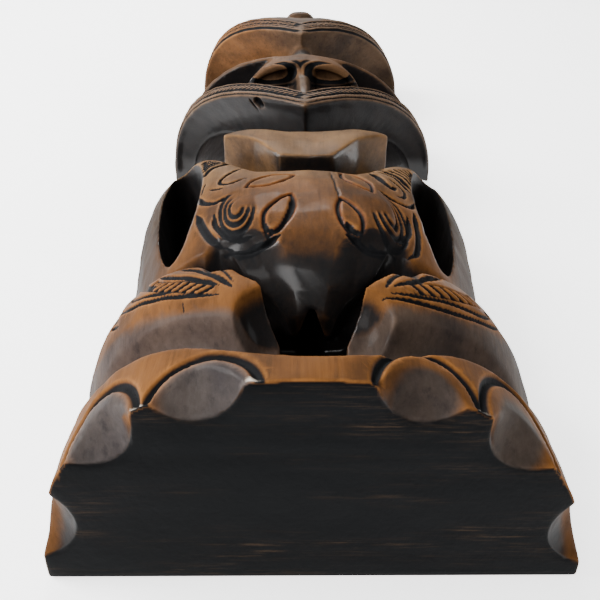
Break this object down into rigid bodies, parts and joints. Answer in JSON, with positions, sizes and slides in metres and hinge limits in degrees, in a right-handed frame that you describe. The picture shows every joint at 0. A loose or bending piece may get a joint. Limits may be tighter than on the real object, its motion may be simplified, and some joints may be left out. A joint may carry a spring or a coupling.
{
  "type": "tekoteko carving",
  "caption": "Small carved wooden figure lying on its flat back, with tongue, hands on the belly, bent legs and scooped toes.",
  "frame": {"origin": "middle of the flat back that the figure lies on", "axes": "+Y from the feet to the topknot, +Z out of the flat back towards the front of the figure, +X to the right seen from the feet"},
  "size_m": [0.11, 0.342, 0.052],
  "materials": {
    "stained_wood": "orange-brown wood, stained black in its cuts and hollows, with a worn satin gloss"
  },
  "bodies": {
    "root": {"tekoteko_carving": "stained_wood"}
  },
  "joints": []
}
